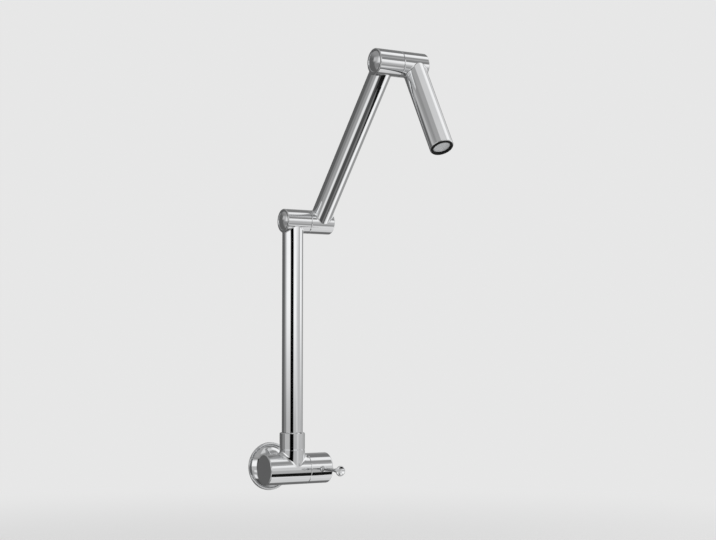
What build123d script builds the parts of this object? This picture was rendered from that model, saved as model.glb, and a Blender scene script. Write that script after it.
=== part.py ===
from build123d import *
import os
from math import cos, radians, sin

# Wall mounted pot filler: a valve barrel on the wall, a riser that swivels on it, a middle arm and a spout,
# joined by two hollow elbow joints that carry the water.
# The wall's face is the plane Y = 0 and the room is at -Y. +X is to the right along the wall, +Z is up, and
# the origin lies on the inlet's axis. All sizes are in millimetres.

# ---- Fits -----------------------------------------------------------------------------------------------
slip = 0.05                 # radial play of a turning fit, a thread or a socket
film = 0.03                 # play of a seal or washer against what it rubs on
seam = 0.3                  # open line between two polished pieces that turn against each other

# ---- Wall side ------------------------------------------------------------------------------------------
standoff = 47.0             # wall to the axis of the valve barrel
thread_radius = 10.48       # half inch pipe thread
inlet_reach = 13.0          # nipple behind the wall's face
inlet_relief = 4.0          # plain middle of the nipple, between its two threads
inlet_bore = 6.5
inlet_key = 13.0            # hexagon socket in the nipple, across flats
inlet_key_depth = 8.0
nipple_in_neck = 15.0       # nipple inside the neck
washer_thickness = 1.0
neck_radius = 12.5
neck_to_wall = 4.0

cover_radius = 25.5
cover_height = 9.5
cover_edge = 2.2            # straight edge of the cover plate, at the wall
cover_rounding = 1.3
cover_bulge = 0.9           # how far its dome rises over a straight cone
cover_wall = 1.2
cover_play = 0.3            # cover plate's hole round the neck
cover_lip = 4.0             # collar of the cover plate along the neck
gasket_width = 3.6
gasket_thickness = 1.5

# ---- Valve barrel ---------------------------------------------------------------------------------------
barrel_radius = 16.0
barrel_left = 32.0          # riser's plane to the barrel's left end
barrel_right = 16.0         # riser's plane to the seam with the handle's hub
barrel_rounding = 1.1
riser_forward = 2.5         # the riser stands this far in front of the barrel's axis
branch_radius = 13.25
branch_top = 20.8
branch_fillet = 4.0
neck_fillet = 2.0
spigot_radius = 11.4        # threaded top of the branch, inside the collar
spigot_top = 29.0
branch_floor = 11.5         # bottom of the branch's bore
edge_break = 0.4            # small chamfer at seams

chamber_radius = 9.0        # inlet chamber, left of the valve seat
seat_hole = 5.5
seat_left = 0.0
seat_right = 3.0
gallery_radius = 10.2       # outlet space round the cartridge
gallery_right = 11.5
inlet_port = 3.1
inlet_port_x = -3.3
neck_water_end = 33.0       # depth of the neck's waterway from the wall
outlet_port = 2.3
outlet_port_x = 5.4

plug_radius = 14.15
plug_head = 3.0
plug_thread = 11.0
plug_thread_length = 4.0
plug_seal = 0.9

# ---- Quarter turn cartridge -----------------------------------------------------------------------------
cartridge_thread = 9.5
cartridge_nose = 8.4
cartridge_inside = 7.2
nose_gap = 0.3
cartridge_hex = 20.0        # across flats
cartridge_hex_length = 3.5
gland_radius = 6.8
gland_length = 3.0
spindle_radius = 4.0
disc_radius = 7.15
disc_thickness = 2.6
disc_start = 5.0            # face of the fixed disc, from the riser's plane
disc_port_outer = 5.4
disc_port_inner = 1.6
driver_length = 2.2
driver_tab = (3.0, 11.0, 1.0)
seal_width = 1.5
seal_depth = 1.0            # radial section of the seals
spindle_end = 37.6
spindle_flats = 6.4         # across the two flats
flats_length = 10.5
clip_width = 0.7
clip_reach = 1.5

# ---- Handle ---------------------------------------------------------------------------------------------
hub_end = 42.5
hub_rounding = 1.6
hub_cup_radius = 13.2
hub_cup_end = 24.0
grub_radius = 2.5
grub_key = 2.5
grub_length = 8.6
grub_x = 34.0
lever_tip_reach = 52.0      # barrel's axis to the end of the lever
lever_stud = 2.5
lever_stud_length = 6.0
lever_radius = 1.6
ferrule_radius = 3.2
ferrule_height = 2.9
tip_radius = 5.4
tip_length = 10.5
tip_root_radius = 2.1
tip_edge = 0.9
tip_dish = 0.9              # depth of the hollow in the tip's end
tip_lip = 0.9               # ring round that hollow
tip_socket = 6.0
tip_stud = 1.2

# ---- Swivel under the riser -----------------------------------------------------------------------------
collar_top = 38.2
collar_lip = 3.15           # thickness of the collar's inward lip
collar_lip_hole = 9.2
stem_radius = 8.0
stem_bottom = 13.0
stem_bore = 5.5
stem_flange = 10.7
stem_flange_thickness = 2.6
stem_neck = 8.7
stem_plug_length = 11.5
split_gap = 2.0

# ---- Tubes and elbows -----------------------------------------------------------------------------------
tube_radius = 11.0
tube_wall = 1.0
riser_height = 260.0        # barrel's axis to the lower elbow's axis
arm_length = 199.0          # elbow axis to elbow axis
arm_lean = 40.8             # degrees from upright, towards the room
spout_radius = 12.0
spout_wall = 1.2
spout_length = 102.4        # upper elbow's axis to the rim of the mouth
spout_lean = 29.8           # degrees from straight down, towards the room
mouth_rounding = 0.6

lower_elbow_radius = 12.5
lower_fixed_end = 11.8      # riser's axis to the closed end of the lower elbow's fixed half
lower_fixed_seam = 16.8     # riser's axis to the lower elbow's seam
lower_moving_seam = 14.8    # that seam to the arm's axis
lower_moving_end = 13.0
upper_elbow_radius = 13.2
upper_fixed_end = 12.6
upper_fixed_seam = 16.0
upper_moving_seam = 17.4
upper_moving_end = 12.2
elbow_branch = 22.0         # elbow's axis to the joint with the tube
elbow_rounding = 1.0
elbow_fillet = 1.4          # where the branch leaves the barrel
elbow_spare = 5.0           # barrel faced off at its closed end once the branch is blended in
cap_rim = 2.4               # rim of the barrel round its cap
cap_ledge = 1.3             # ledge that the cap's head presses on
water_bore = 8.0
tube_spigot = 10.0          # length of the spigot inside the tube
thread_wall = 7.2           # wall of the fixed half that the bolt screws into
bearing_wall = 8.05         # wall of the moving half that turns on the bolt
bolt_thread = 6.5
bolt_shank = 7.5
bolt_head = 8.6
bolt_head_length = 3.5
bolt_bore = 4.2
bolt_key = 9.0              # hexagon socket in the bolt's head, across flats
bolt_key_depth = 3.0
head_washer = 0.5
seal_groove = 1.8
cap_head = 1.8
cap_dome = 2.7
cap_inset = 0.6             # edge of the cap below the rim of its elbow
cap_seal = 0.9
cap_skirt = 2.6
cap_skirt_wall = 2.0

# ---- Aerator --------------------------------------------------------------------------------------------
aerator_length = 10.5
aerator_flange = 11.25
aerator_rim = 0.8           # flange inside the mouth's counterbore
aerator_proud = 1.0         # flange below the mouth
aerator_opening = 8.6
aerator_lip = 2.0
insert_radius = 9.4
insert_thickness = 4.0
cell_width = 2.0            # across flats
cell_pitch = 2.4
cell_rings = 3

# ---- Derived places -------------------------------------------------------------------------------------
riser_y = -standoff - riser_forward
arm_direction = Vector(0, -sin(radians(arm_lean)), cos(radians(arm_lean)))
spout_direction = Vector(0, -sin(radians(spout_lean)), -cos(radians(spout_lean)))
lower_elbow = Vector(0, riser_y, riser_height)
lower_seam = lower_elbow + Vector(lower_fixed_seam, 0, 0)
arm_foot = lower_seam + Vector(lower_moving_seam, 0, 0)
upper_elbow = arm_foot + arm_direction * arm_length
upper_seam = upper_elbow + Vector(upper_fixed_seam, 0, 0)
spout_root = upper_seam + Vector(upper_moving_seam, 0, 0)
hub_start = barrel_right + seam
lever_x = (hub_start + hub_end) / 2

# Turning planes: local x runs along the piece's axis and local y is its radius.
inlet_lathe = Plane((0, 0, 0), x_dir=(0, 1, 0), z_dir=(0, 0, -1))
barrel_lathe = Plane((0, -standoff, 0), x_dir=(1, 0, 0), z_dir=(0, -1, 0))
riser_lathe = Plane((0, riser_y, 0), x_dir=(0, 0, 1), z_dir=(0, 1, 0))
lever_lathe = Plane((lever_x, -standoff, 0), x_dir=(0, -1, 0), z_dir=(-1, 0, 0))


def elbow_lathe(centre, to_seam, tube):
    """Turning plane of one elbow half: x runs to the seam, y runs along its tube."""
    return Plane(centre, x_dir=to_seam, z_dir=to_seam.cross(tube))


def tube_lathe(centre, tube):
    """Turning plane of a tube that starts at an elbow's axis."""
    return Plane(centre, x_dir=tube, z_dir=Vector(1, 0, 0))


def across(lathe, along):
    """Sketch plane square to a turning plane's axis, at a distance along it."""
    return Plane(lathe.origin + lathe.x_dir * along, x_dir=lathe.y_dir, z_dir=lathe.x_dir)


def turned(lathe, outline, mode=Mode.ADD):
    """Turns a closed outline of (along, radius) points about the lathe's axis."""
    with BuildSketch(lathe) as section:
        with BuildLine():
            Polyline(*outline, close=True)
        make_face()
    revolve(section.sketch, axis=Axis(lathe.origin, lathe.x_dir), mode=mode)


def bored(lathe, radius, start, end):
    """Cuts a round hole along the lathe's axis."""
    turned(lathe, [(start, 0), (start, radius), (end, radius), (end, 0)], mode=Mode.SUBTRACT)


def rings(lathe, inner, outer, spans):
    """Flat rings, one for each (start, end) along the axis: washers, and seals as they are when squeezed."""
    with BuildPart() as piece:
        for start, end in spans:
            turned(lathe, [(start, inner), (start, outer), (end, outer), (end, inner)])
    return piece


def round_edges(piece, lathe, along, radius):
    """The circular edges of a piece that lie at one place along a lathe's axis and have one radius."""
    centre = lathe.origin + lathe.x_dir * along
    return [
        edge
        for edge in piece.edges().filter_by(GeomType.CIRCLE)
        if (edge.arc_center - centre).length < 0.01 and abs(edge.radius - radius) < 0.01
    ]


def save(piece, name):
    """Labels a finished piece and writes it."""
    piece.part.label = name
    os.makedirs("parts", exist_ok=True)
    export_step(piece.part, f"parts/{name}.step")


# ---- Inlet nipple, its washer and the cover plate -------------------------------------------------------
nipple_start = -neck_to_wall - nipple_in_neck
relief_end = inlet_relief / 8
relief_start = relief_end - inlet_relief
thread_root = thread_radius - 0.9
with BuildPart() as inlet_nipple:
    turned(
        inlet_lathe,
        [
            (nipple_start, inlet_bore),
            (nipple_start, thread_root),
            (nipple_start + 1, thread_radius),
            (relief_start, thread_radius),
            (relief_start, thread_root),
            (relief_end, thread_root),
            (relief_end, thread_radius),
            (inlet_reach - 1, thread_radius),
            (inlet_reach, thread_root),
            (inlet_reach, inlet_bore),
        ],
    )
    with BuildSketch(across(inlet_lathe, nipple_start)):
        RegularPolygon(inlet_key / 2, 6, major_radius=False)
    extrude(amount=inlet_key_depth, mode=Mode.SUBTRACT)
save(inlet_nipple, "inlet_nipple")

neck_floor = nipple_start - washer_thickness
inlet_washer = rings(
    inlet_lathe, inlet_bore, thread_radius - slip, [(neck_floor + film, nipple_start - film)]
)
save(inlet_washer, "inlet_washer")

cover_hole = neck_radius + cover_play
with BuildPart() as wall_flange:
    with BuildSketch(inlet_lathe) as flange_section:
        with BuildLine():
            outside = Polyline((0, cover_radius), (-cover_edge, cover_radius))
            dome = SagittaArc(outside @ 1, (-cover_height, cover_hole + cover_wall), cover_bulge)
            lip = Polyline(
                dome @ 1,
                (-cover_height, cover_hole),
                (cover_lip - cover_height, cover_hole),
                (cover_lip - cover_height, cover_hole + cover_wall),
                (cover_wall - cover_height, cover_hole + cover_wall),
            )
            inside = SagittaArc(lip @ 1, (-cover_edge, cover_radius - cover_wall), -cover_bulge)
            Polyline(inside @ 1, (0, cover_radius - cover_wall), outside @ 0)
        make_face()
    revolve(flange_section.sketch, axis=Axis(inlet_lathe.origin, inlet_lathe.x_dir))
    fillet(round_edges(wall_flange, inlet_lathe, -cover_edge, cover_radius), cover_rounding)
    fillet(round_edges(wall_flange, inlet_lathe, -cover_height, cover_hole), cover_wall / 2)
save(wall_flange, "wall_flange")

gasket_outer = cover_radius - cover_wall - cover_play
flange_gasket = rings(
    inlet_lathe, gasket_outer - gasket_width, gasket_outer, [(-gasket_thickness, 0)]
)
save(flange_gasket, "flange_gasket")

cover_seal_start = -cover_height + (cover_lip - seal_groove) / 2
cover_groove_floor = cover_hole - seal_depth - cover_play
flange_o_ring = rings(
    inlet_lathe,
    cover_groove_floor + film,
    cover_hole - film,
    [(cover_seal_start + film, cover_seal_start + seal_groove - film)],
)
save(flange_o_ring, "flange_o_ring")

# ---- Valve body: barrel, branch and neck in one casting -------------------------------------------------
plug_bore_end = -barrel_left + plug_head + plug_thread_length + plug_seal + 2 * film
with BuildPart() as valve_body:
    with BuildSketch(across(barrel_lathe, -barrel_left)):
        Circle(barrel_radius)
    extrude(amount=barrel_left + barrel_right)
    fillet(round_edges(valve_body, barrel_lathe, -barrel_left, barrel_radius), barrel_rounding)
    chamfer(round_edges(valve_body, barrel_lathe, barrel_right, barrel_radius), edge_break / 2)
    with BuildSketch(across(riser_lathe, 0)):
        Circle(branch_radius)
    extrude(amount=branch_top)
    fillet(valve_body.edges(Select.NEW).filter_by(GeomType.BSPLINE), branch_fillet)
    with BuildSketch(across(inlet_lathe, -standoff)):
        Circle(neck_radius)
    extrude(amount=standoff - neck_to_wall)
    fillet(valve_body.edges(Select.NEW).filter_by(GeomType.BSPLINE), neck_fillet)
    chamfer(round_edges(valve_body, riser_lathe, branch_top, branch_radius), 2 * edge_break)
    with BuildSketch(across(riser_lathe, branch_top)):
        Circle(spigot_radius)
    extrude(amount=spigot_top - branch_top)
    bored(riser_lathe, stem_radius + slip, branch_floor, spigot_top)
    # inside of the barrel, from the plug's seat on the left to the cartridge's thread on the right
    turned(
        barrel_lathe,
        [
            (-barrel_left, 0),
            (-barrel_left, plug_radius + slip),
            (-barrel_left + plug_head, plug_radius + slip),
            (-barrel_left + plug_head, plug_thread + slip),
            (plug_bore_end, plug_thread + slip),
            (plug_bore_end, chamber_radius),
            (seat_left, chamber_radius),
            (seat_left, seat_hole),
            (seat_right, seat_hole),
            (seat_right, gallery_radius),
            (gallery_right, gallery_radius),
            (gallery_right, cartridge_thread + slip),
            (barrel_right, cartridge_thread + slip),
            (barrel_right, 0),
        ],
        mode=Mode.SUBTRACT,
    )
    # inlet: threaded socket and waterway in the neck, then a port into the chamber left of the seat
    bored(inlet_lathe, thread_radius + slip, neck_floor, -neck_to_wall)
    bored(inlet_lathe, inlet_bore, -neck_water_end, neck_floor)
    with BuildSketch(Plane.XZ.offset(neck_water_end - 1)):
        with Locations((inlet_port_x, 0)):
            Circle(inlet_port)
    extrude(amount=standoff - neck_water_end + 1, mode=Mode.SUBTRACT)
    # outlet: port from the gallery round the cartridge up into the branch
    with BuildSketch(Plane((outlet_port_x, riser_y, 0))):
        Circle(outlet_port)
    extrude(amount=branch_floor + 1, mode=Mode.SUBTRACT)
    # groove in the neck for the ring that holds the cover plate
    turned(
        inlet_lathe,
        [
            (cover_seal_start, cover_groove_floor),
            (cover_seal_start, neck_radius + 1),
            (cover_seal_start + seal_groove, neck_radius + 1),
            (cover_seal_start + seal_groove, cover_groove_floor),
        ],
        mode=Mode.SUBTRACT,
    )
save(valve_body, "valve_body")

plug_shoulder = -barrel_left + plug_head
plug_nose = plug_shoulder + plug_thread_length
with BuildPart() as body_end_plug:
    turned(
        barrel_lathe,
        [
            (-barrel_left, 0),
            (-barrel_left, plug_radius),
            (plug_shoulder, plug_radius),
            (plug_shoulder, plug_thread),
            (plug_nose, plug_thread),
            (plug_nose, chamber_radius),
            (plug_shoulder, chamber_radius),
            (plug_shoulder, 0),
        ],
    )
save(body_end_plug, "body_end_plug")
end_plug_seal = rings(
    barrel_lathe, chamber_radius, plug_thread - film, [(plug_nose + film, plug_bore_end - film)]
)
save(end_plug_seal, "end_plug_seal")

# ---- Cartridge: brass body, two ceramic discs and the spindle -------------------------------------------
nose_start = seat_right + nose_gap
disc_meet = disc_start + disc_thickness
disc_end = disc_meet + film + disc_thickness
driver_start = disc_end + film
driver_end = driver_start + driver_length
hex_end = barrel_right + cartridge_hex_length
gland_end = hex_end + gland_length
gland_seals = [
    (driver_end + 1.5 + k * 2 * seal_groove, driver_end + 1.5 + k * 2 * seal_groove + seal_width)
    for k in range(2)
]
barrel_seal = (barrel_right - film - 2 * seal_width, barrel_right - 2 * film - seal_width)
with BuildPart() as cartridge_body:
    turned(
        barrel_lathe,
        [
            (nose_start, cartridge_inside),
            (nose_start, cartridge_nose),
            (gallery_right, cartridge_nose),
            (gallery_right, cartridge_thread),
            (barrel_seal[0], cartridge_thread),
            (barrel_seal[0], cartridge_thread - seal_depth),
            (barrel_seal[1] + film, cartridge_thread - seal_depth),
            (barrel_seal[1] + film, cartridge_thread),
            (barrel_right, cartridge_thread),
            (barrel_right, gland_radius),
            (gland_end, gland_radius),
            (gland_end, spindle_radius + slip),
            (driver_end + slip, spindle_radius + slip),
            (driver_end + slip, cartridge_inside),
        ],
    )
    with BuildSketch(across(barrel_lathe, barrel_right)):
        RegularPolygon(cartridge_hex / 2, 6, major_radius=False)
        Circle(gland_radius - slip, mode=Mode.SUBTRACT)
    extrude(amount=cartridge_hex_length)
    # two windows in the nose let the water out beside the moving disc
    with BuildSketch(Plane.XZ.offset(standoff)):
        with Locations(((disc_meet + disc_end) / 2, 0)):
            Rectangle(disc_thickness - 2 * film, 2 * disc_port_outer)
    extrude(amount=cartridge_nose + 1, both=True, mode=Mode.SUBTRACT)
save(cartridge_body, "cartridge_body")

cartridge_o_ring = rings(
    barrel_lathe, cartridge_thread - seal_depth + film, cartridge_thread + slip - film,
    [(barrel_seal[0] + film, barrel_seal[1])],
)
save(cartridge_o_ring, "cartridge_o_ring")
cartridge_seat_seal = rings(
    barrel_lathe, seat_hole, cartridge_inside - slip, [(seat_right + film, disc_start - film)]
)
save(cartridge_seat_seal, "cartridge_seat_seal")


def ceramic_disc(start):
    """Ceramic disc with two opposite ports, each nearly a quarter of a ring."""
    with BuildPart() as disc:
        with BuildSketch(across(barrel_lathe, start)) as face:
            Circle(disc_radius)
            with BuildSketch(across(barrel_lathe, start), mode=Mode.PRIVATE) as ports:
                Circle(disc_port_outer)
                Circle(disc_port_inner, mode=Mode.SUBTRACT)
                with BuildLine():
                    Polyline(
                        (0, 0), (disc_radius, disc_radius), (disc_radius, -disc_radius), close=True
                    )
                make_face(mode=Mode.SUBTRACT)
                with BuildLine():
                    Polyline(
                        (0, 0), (-disc_radius, disc_radius), (-disc_radius, -disc_radius), close=True
                    )
                make_face(mode=Mode.SUBTRACT)
            add(ports.sketch_local, mode=Mode.SUBTRACT)
        extrude(face.sketch, amount=disc_thickness)
    return disc


fixed_disc = ceramic_disc(disc_start)
save(fixed_disc, "fixed_disc")
moving_disc = ceramic_disc(disc_meet + film)
with moving_disc:
    # slot that the spindle's tab turns the disc by
    with BuildSketch(across(barrel_lathe, disc_end)) as slot:
        Rectangle(driver_tab[1] + 2 * slip, driver_tab[0] + 2 * slip)
    extrude(slot.sketch, amount=-driver_tab[2] - slip, mode=Mode.SUBTRACT)
save(moving_disc, "moving_disc")

clip_start = gland_end + slip
with BuildPart() as cartridge_spindle:
    turned(
        barrel_lathe,
        [
            (driver_start, 0),
            (driver_start, cartridge_inside - slip),
            (driver_end, cartridge_inside - slip),
            (driver_end, spindle_radius),
            (spindle_end, spindle_radius),
            (spindle_end, 0),
        ],
    )
    for start, end in gland_seals + [(clip_start, clip_start + clip_width)]:
        turned(
            barrel_lathe,
            [
                (start - film, spindle_radius - seal_depth),
                (start - film, spindle_radius + 1),
                (end + film, spindle_radius + 1),
                (end + film, spindle_radius - seal_depth),
            ],
            mode=Mode.SUBTRACT,
        )
    with BuildSketch(across(barrel_lathe, driver_start)):
        Rectangle(driver_tab[1], driver_tab[0])
    extrude(amount=-driver_tab[2])
    # two flats on the end that the hub drives
    with BuildSketch(across(barrel_lathe, spindle_end)):
        with GridLocations(spindle_flats + spindle_radius, 0, 2, 1):
            Rectangle(spindle_radius, 2 * spindle_radius)
    extrude(amount=-flats_length, mode=Mode.SUBTRACT)
    chamfer(cartridge_spindle.faces().sort_by(Axis.X)[-1].edges(), edge_break)
save(cartridge_spindle, "cartridge_spindle")

spindle_seals = rings(
    barrel_lathe, spindle_radius - seal_depth + film, spindle_radius + slip - film, gland_seals
)
save(spindle_seals, "spindle_seals")
with BuildPart() as spindle_clip:
    with BuildSketch(across(barrel_lathe, clip_start)):
        Circle(spindle_radius + clip_reach)
        Circle(spindle_radius - seal_depth + film, mode=Mode.SUBTRACT)
        with Locations((-spindle_radius, 0)):
            Rectangle(2 * spindle_radius, spindle_radius, mode=Mode.SUBTRACT)
    extrude(amount=clip_width)
save(spindle_clip, "spindle_clip")

# ---- Handle: hub, grub screw and lever ------------------------------------------------------------------
flats_start = spindle_end - flats_length
ferrule_seat = barrel_radius - 0.4
stud_end = ferrule_seat - 2 * slip
with BuildPart() as handle_hub:
    with BuildSketch(across(barrel_lathe, hub_start)):
        Circle(barrel_radius)
    extrude(amount=hub_end - hub_start)
    fillet(round_edges(handle_hub, barrel_lathe, hub_end, barrel_radius), hub_rounding)
    chamfer(round_edges(handle_hub, barrel_lathe, hub_start, barrel_radius), edge_break)
    bored(barrel_lathe, hub_cup_radius, hub_start, hub_cup_end)
    bored(barrel_lathe, spindle_radius + slip, hub_cup_end, flats_start)
    with BuildSketch(across(barrel_lathe, flats_start)):
        Circle(spindle_radius + slip)
        Rectangle(spindle_flats + 2 * slip, 4 * spindle_radius, mode=Mode.INTERSECT)
    extrude(amount=flats_length + slip, mode=Mode.SUBTRACT)
    # seat and threaded hole for the lever, in front
    bored(lever_lathe, ferrule_radius + slip, ferrule_seat, barrel_radius + 1)
    bored(lever_lathe, lever_stud + slip, stud_end - lever_stud_length, ferrule_seat)
    # threaded hole for the grub screw, underneath
    with BuildSketch(Plane((grub_x, -standoff, -barrel_radius))):
        Circle(grub_radius + slip)
    extrude(amount=barrel_radius - spindle_flats / 2, mode=Mode.SUBTRACT)
save(handle_hub, "handle_hub")

grub_top = -spindle_flats / 2 - slip
with BuildPart() as hub_grub_screw:
    with BuildSketch(Plane((grub_x, -standoff, grub_top - grub_length))):
        Circle(grub_radius)
    extrude(amount=grub_length)
    with BuildSketch(Plane((grub_x, -standoff, grub_top - grub_length))):
        RegularPolygon(grub_key / 2, 6, major_radius=False)
    extrude(amount=grub_key, mode=Mode.SUBTRACT)
save(hub_grub_screw, "hub_grub_screw")

rod_end = lever_tip_reach - tip_length + tip_socket
with BuildPart() as lever_rod:
    turned(
        lever_lathe,
        [
            (stud_end - lever_stud_length, 0),
            (stud_end - lever_stud_length, lever_stud),
            (stud_end, lever_stud),
            (stud_end, lever_radius),
            (lever_tip_reach - tip_length, lever_radius),
            (lever_tip_reach - tip_length, tip_stud),
            (rod_end, tip_stud),
            (rod_end, 0),
        ],
    )
save(lever_rod, "lever_rod")

ferrule_end = ferrule_seat + ferrule_height
with BuildPart() as lever_ferrule:
    with BuildSketch(lever_lathe) as ferrule_section:
        with BuildLine():
            base = Polyline((ferrule_seat, lever_radius + slip), (ferrule_seat, ferrule_radius))
            side = Line(base @ 1, (ferrule_seat + ferrule_height / 3, ferrule_radius))
            crown = TangentArc(side @ 1, (ferrule_end, lever_radius + 2 * slip), tangent=(1, 0))
            Polyline(crown @ 1, (ferrule_end, lever_radius + slip), base @ 0)
        make_face()
    revolve(ferrule_section.sketch, axis=Axis(lever_lathe.origin, lever_lathe.x_dir))
save(lever_ferrule, "lever_ferrule")

tip_start = lever_tip_reach - tip_length + slip
dish_floor = lever_tip_reach - tip_dish
dish_radius = tip_radius - tip_lip
with BuildPart() as lever_tip:
    with BuildSketch(lever_lathe) as tip_section:
        with BuildLine():
            neck_face = Line((tip_start, tip_stud + slip), (tip_start, tip_root_radius))
            flare = TangentArc(neck_face @ 1, (lever_tip_reach - tip_edge, tip_radius), tangent=(1, 0))
            lip = Polyline(flare @ 1, (lever_tip_reach, tip_radius), (lever_tip_reach, dish_radius))
            dish = TangentArc((dish_floor, 0), lip @ 1, tangent=(0, 1))
            Polyline(
                dish @ 0,
                (rod_end + slip, 0),
                (rod_end + slip, tip_stud + slip),
                neck_face @ 0,
            )
        make_face()
    revolve(tip_section.sketch, axis=Axis(lever_lathe.origin, lever_lathe.x_dir))
    fillet(round_edges(lever_tip, lever_lathe, lever_tip_reach, tip_radius), tip_edge / 2)
save(lever_tip, "lever_tip")

# ---- Swivel: collar, washer, split ring and the riser's stem --------------------------------------------
lip_bottom = collar_top - collar_lip
with BuildPart() as swivel_nut:
    turned(
        riser_lathe,
        [
            (branch_top, spigot_radius + slip),
            (branch_top, branch_radius),
            (collar_top, branch_radius),
            (collar_top, collar_lip_hole),
            (lip_bottom, collar_lip_hole),
            (lip_bottom, spigot_radius + slip),
        ],
    )
    chamfer(round_edges(swivel_nut, riser_lathe, collar_top, branch_radius), 2 * edge_break)
    chamfer(round_edges(swivel_nut, riser_lathe, branch_top, branch_radius), edge_break)
save(swivel_nut, "swivel_nut")

swivel_washer = rings(
    riser_lathe,
    stem_radius + cover_play,
    spigot_radius - 2 * slip,
    [(spigot_top, spigot_top + washer_thickness)],
)
save(swivel_washer, "swivel_washer")

flange_bottom = spigot_top + washer_thickness + film
flange_top = flange_bottom + stem_flange_thickness
with BuildPart() as swivel_split_ring:
    with BuildSketch(across(riser_lathe, flange_top + film)):
        Circle(spigot_radius - slip)
        Circle(stem_neck + 2 * slip, mode=Mode.SUBTRACT)
        with Locations((-spigot_radius, 0)):
            Rectangle(spigot_radius, split_gap, mode=Mode.SUBTRACT)
    extrude(amount=lip_bottom - flange_top - 2 * film)
save(swivel_split_ring, "swivel_split_ring")

riser_foot = collar_top + seam
stem_top = riser_foot + stem_plug_length
stem_grooves = [
    (stem_bottom + k * 2.5 * seal_groove, stem_bottom + k * 2.5 * seal_groove + seal_groove)
    for k in (1, 2)
]
with BuildPart() as swivel_stem:
    turned(
        riser_lathe,
        [
            (stem_bottom, stem_bore),
            (stem_bottom, stem_radius),
            (flange_bottom, stem_radius),
            (flange_bottom, stem_flange),
            (flange_top, stem_flange),
            (flange_top, stem_neck),
            (riser_foot, stem_neck),
            (riser_foot, tube_radius - tube_wall - slip),
            (stem_top, tube_radius - tube_wall - slip),
            (stem_top, stem_bore),
        ],
    )
    for start, end in stem_grooves:
        turned(
            riser_lathe,
            [
                (start, stem_radius - seal_depth),
                (start, stem_radius + 1),
                (end, stem_radius + 1),
                (end, stem_radius - seal_depth),
            ],
            mode=Mode.SUBTRACT,
        )
    chamfer(round_edges(swivel_stem, riser_lathe, stem_bottom, stem_radius), edge_break)
save(swivel_stem, "swivel_stem")
stem_seals = rings(
    riser_lathe,
    stem_radius - seal_depth + film,
    stem_radius + slip - film,
    [(start + film, end - film) for start, end in stem_grooves],
)
save(stem_seals, "stem_seals")


# ---- Elbows: each is two barrel halves on a hollow shoulder bolt ----------------------------------------
def elbow_half(lathe, barrel_size, tube_size, inner_wall):
    """One half: barrel with an open end for the cap, branch for the tube, inner wall at the seam."""
    barrel_radius, closed_end, seam_distance = barrel_size
    outer, wall = tube_size
    wall_thickness, wall_hole = inner_wall
    cap_seat = barrel_radius - cap_rim
    seam_face = seam_distance - seam / 2
    wall_start = seam_face - wall_thickness
    ledge = cap_head + cap_seal + cap_inset - closed_end
    branch_lathe = tube_lathe(lathe.origin, lathe.y_dir)
    with BuildPart() as half:
        with BuildSketch(across(lathe, -closed_end - elbow_spare)) as barrel:
            Circle(barrel_radius)
        extrude(barrel.sketch, amount=elbow_spare + closed_end + seam_face)
        chamfer(round_edges(half, lathe, seam_face, barrel_radius), edge_break)
        with BuildSketch(across(branch_lathe, 0)) as branch:
            Circle(outer)
        extrude(branch.sketch, amount=elbow_branch)
        fillet(half.edges(Select.NEW).filter_by(GeomType.BSPLINE), elbow_fillet)
        with BuildSketch(across(lathe, -closed_end)) as spare:
            Circle(2 * barrel_radius)
        extrude(spare.sketch, amount=-2 * elbow_spare, mode=Mode.SUBTRACT)
        end_face = half.faces().filter_by(GeomType.PLANE).sort_by(Axis(lathe.origin, lathe.x_dir))[0]
        fillet(end_face.outer_wire().edges(), elbow_rounding)
        with BuildSketch(across(branch_lathe, elbow_branch)) as spigot:
            Circle(outer - wall - slip)
        extrude(spigot.sketch, amount=tube_spigot)
        turned(
            lathe,
            [
                (-closed_end, 0),
                (-closed_end, cap_seat),
                (ledge, cap_seat),
                (ledge, cap_seat - cap_ledge),
                (wall_start, cap_seat - cap_ledge),
                (wall_start, wall_hole + slip),
                (seam_face, wall_hole + slip),
                (seam_face, 0),
            ],
            mode=Mode.SUBTRACT,
        )
        bored(branch_lathe, water_bore, 0, elbow_branch + tube_spigot)
    return half


def elbow_cap(lathe, barrel_size):
    """Domed cap that screws into the closed end of a half."""
    barrel_radius, closed_end, _ = barrel_size
    cap_radius = barrel_radius - cap_rim - slip
    skirt = barrel_radius - cap_rim - cap_ledge - slip
    edge = cap_inset - closed_end
    shoulder = edge + cap_head
    with BuildPart() as cap:
        with BuildSketch(lathe) as section:
            with BuildLine():
                dome = TangentArc((edge - cap_dome, 0), (edge, cap_radius), tangent=(0, 1))
                Polyline(
                    dome @ 1,
                    (shoulder, cap_radius),
                    (shoulder, skirt),
                    (shoulder + cap_skirt, skirt),
                    (shoulder + cap_skirt, skirt - cap_skirt_wall),
                    (shoulder, skirt - cap_skirt_wall),
                    (shoulder, 0),
                    dome @ 0,
                )
            make_face()
        revolve(section.sketch, axis=Axis(lathe.origin, lathe.x_dir))
    return cap


def elbow_cap_seal(lathe, barrel_size):
    """Flat seal between the cap's head and its ledge."""
    barrel_radius, closed_end, _ = barrel_size
    outer = barrel_radius - cap_rim - film
    shoulder = cap_inset + cap_head - closed_end
    return rings(lathe, outer - cap_ledge + film, outer, [(shoulder + film, shoulder + cap_seal - film)])


# Places along an elbow's axis, from the middle of its seam: the fixed half is at -x, the moving half at +x.
seam_side = seam / 2
bearing_end = seam_side + bearing_wall
head_start = bearing_end + head_washer + 2 * film
head_end = head_start + bolt_head_length
bolt_grooves = [(seam_side + start, seam_side + start + seal_groove) for start in (1.6, 4.6)]


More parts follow.
